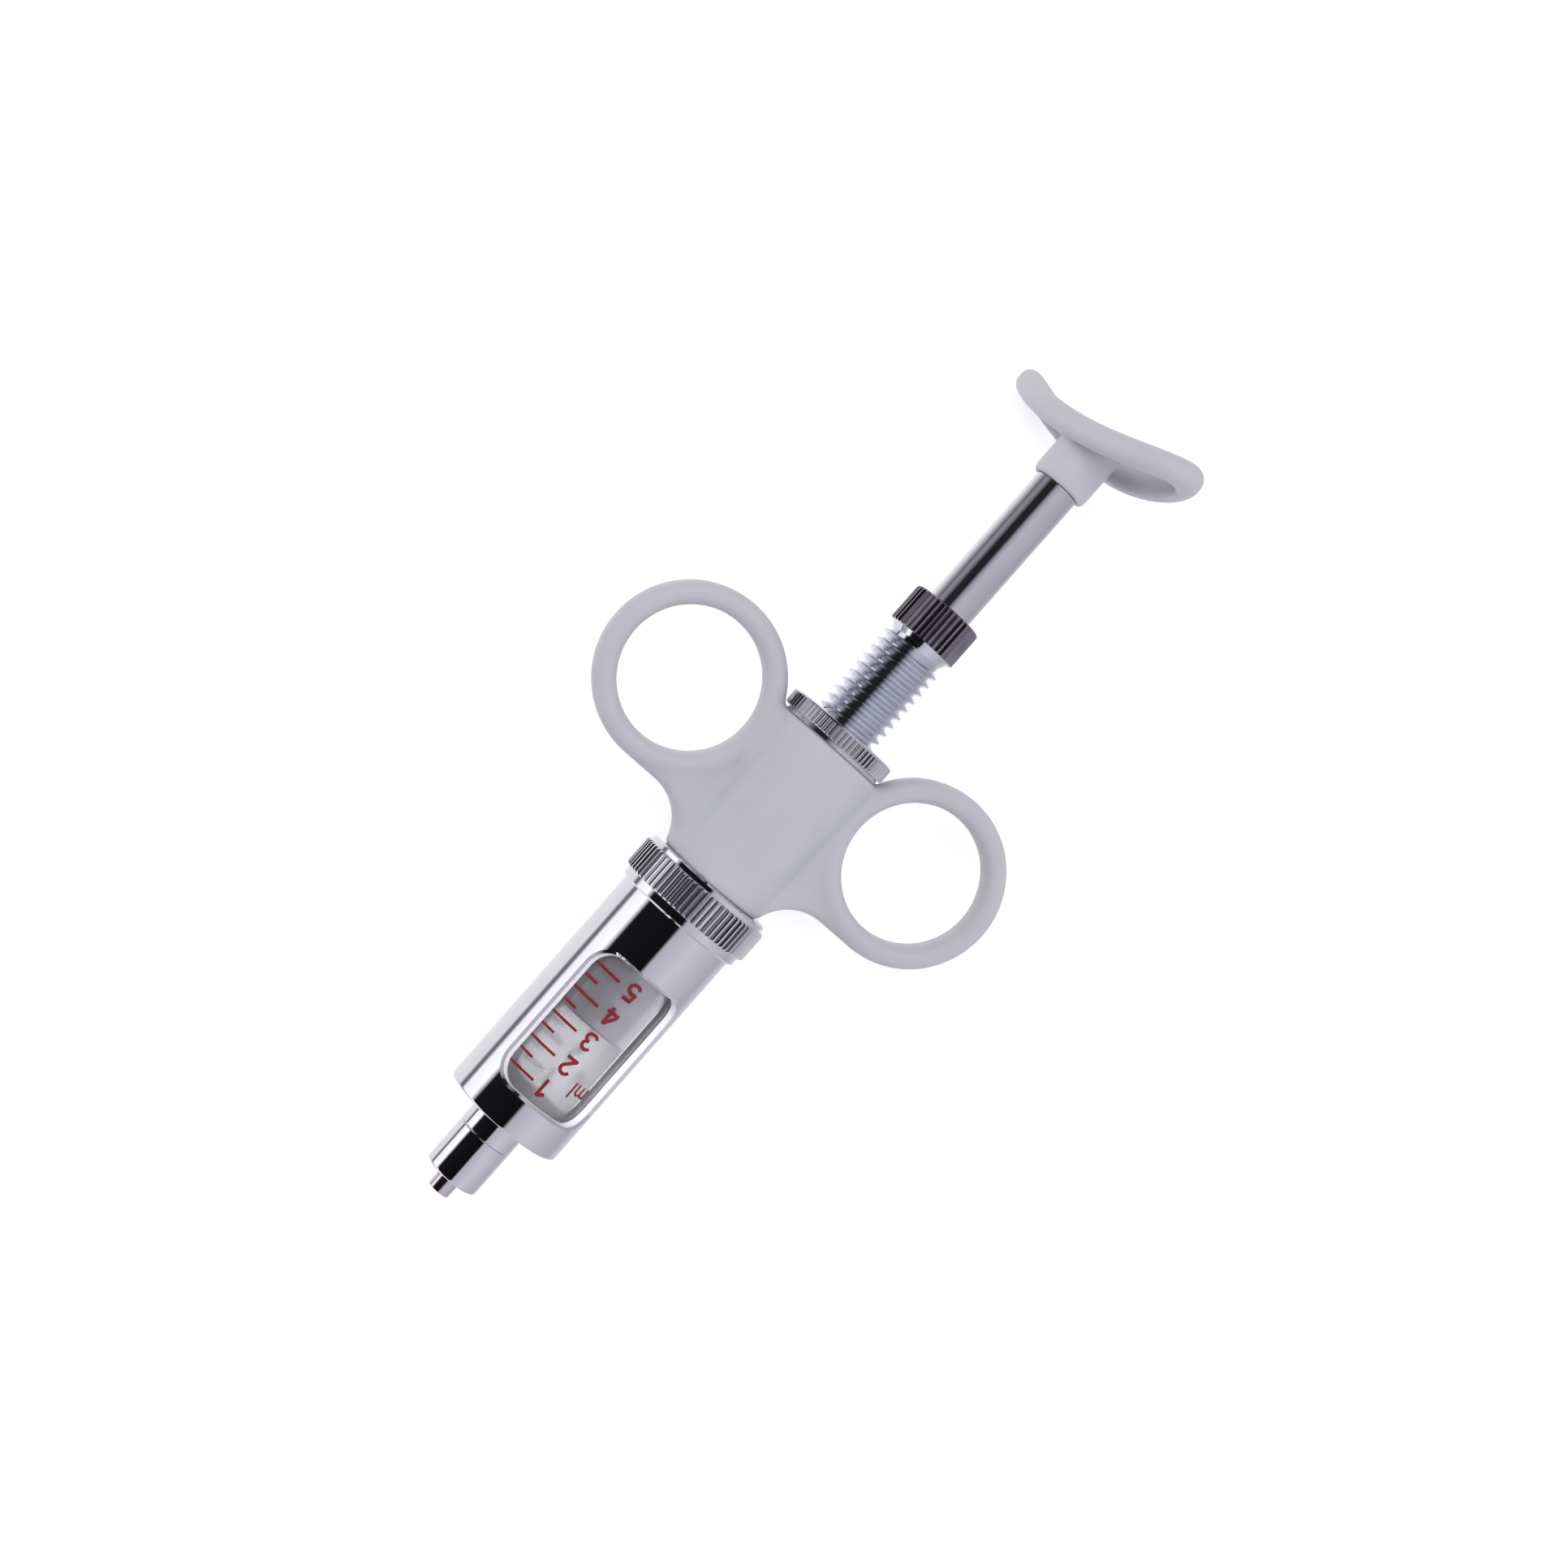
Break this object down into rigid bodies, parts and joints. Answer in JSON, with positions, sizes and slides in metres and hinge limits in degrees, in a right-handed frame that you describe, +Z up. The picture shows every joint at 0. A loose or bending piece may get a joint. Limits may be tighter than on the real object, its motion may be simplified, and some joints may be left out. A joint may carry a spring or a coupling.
{
  "type": "ring handle dosing syringe",
  "caption": "Reusable glass and metal syringe with finger rings, a saddle thumb rest, a windowed barrel sleeve, a luer-lock nozzle and a threaded dose stop.",
  "frame": {"origin": "centre of the luer cone's tip face, on the syringe's axis", "axes": "+X along the axis from the luer tip to the thumb rest, +Z up with the finger rings lying level to within 12 degrees, +Y to the left seen from the thumb rest"},
  "size_m": [0.1686, 0.0804, 0.0356],
  "materials": {
    "chrome": "polished",
    "dark_chrome": "polished black chrome",
    "nozzle_metal": "fine turned",
    "piston_metal": "ground satin",
    "brass": "turned",
    "handle_plastic": "fine matt",
    "bush_plastic": "plain",
    "seal": "plain",
    "glass": "clear"
  },
  "bodies": {
    "barrel": {"nozzle": "nozzle_metal", "nozzle_washer": "seal", "luer_lock_collar": "chrome", "barrel_sleeve": "chrome", "front_seal": "seal", "glass_barrel": "glass", "rear_seal": "seal", "barrel_nut": "chrome", "handle_liner": "chrome", "handle": "handle_plastic"},
    "piston": {"piston_body": "piston_metal", "piston_cap": "piston_metal"},
    "plunger": {"plunger_rod": "chrome", "thumb_rest_insert": "brass", "thumb_rest": "handle_plastic"},
    "screw_carrier": {"rod_bush": "bush_plastic"},
    "dose_stop": {"dose_screw": "chrome", "dose_knob": "dark_chrome"},
    "nut_carrier": {"lock_washer": "chrome"},
    "stop_lock": {"lock_nut": "chrome"}
  },
  "joints": [
    {"name": "plunger_slide", "type": "slide", "parent": "barrel", "child": "piston", "axis": [1, 0, 0], "range_m": [-0.0179, 0]},
    {"name": "plunger_turn", "type": "hinge", "parent": "piston", "child": "plunger", "pos_m": [0.1, 0, 0], "axis": [1, 0, 0], "continuous": true},
    {"name": "dose_screw_travel", "type": "slide", "parent": "barrel", "child": "screw_carrier", "axis": [1, 0, 0], "range_m": [-0.00001, 0.00841]},
    {"name": "dose_screw_turn", "type": "hinge", "parent": "screw_carrier", "child": "dose_stop", "pos_m": [0.11, 0, 0], "axis": [1, 0, 0], "range_deg": [0, 1728]},
    {"name": "lock_nut_travel", "type": "slide", "parent": "barrel", "child": "nut_carrier", "axis": [1, 0, 0], "range_m": [-0.00001, 0.00526]},
    {"name": "lock_nut_turn", "type": "hinge", "parent": "nut_carrier", "child": "stop_lock", "pos_m": [0.0993, 0, 0], "axis": [1, 0, 0], "range_deg": [0, 1080]}
  ],
  "couplings": [
    {"joint": "dose_screw_travel", "follows": "dose_screw_turn", "m_per_rad": 0.00027852},
    {"joint": "lock_nut_travel", "follows": "lock_nut_turn", "m_per_rad": 0.00027852}
  ]
}
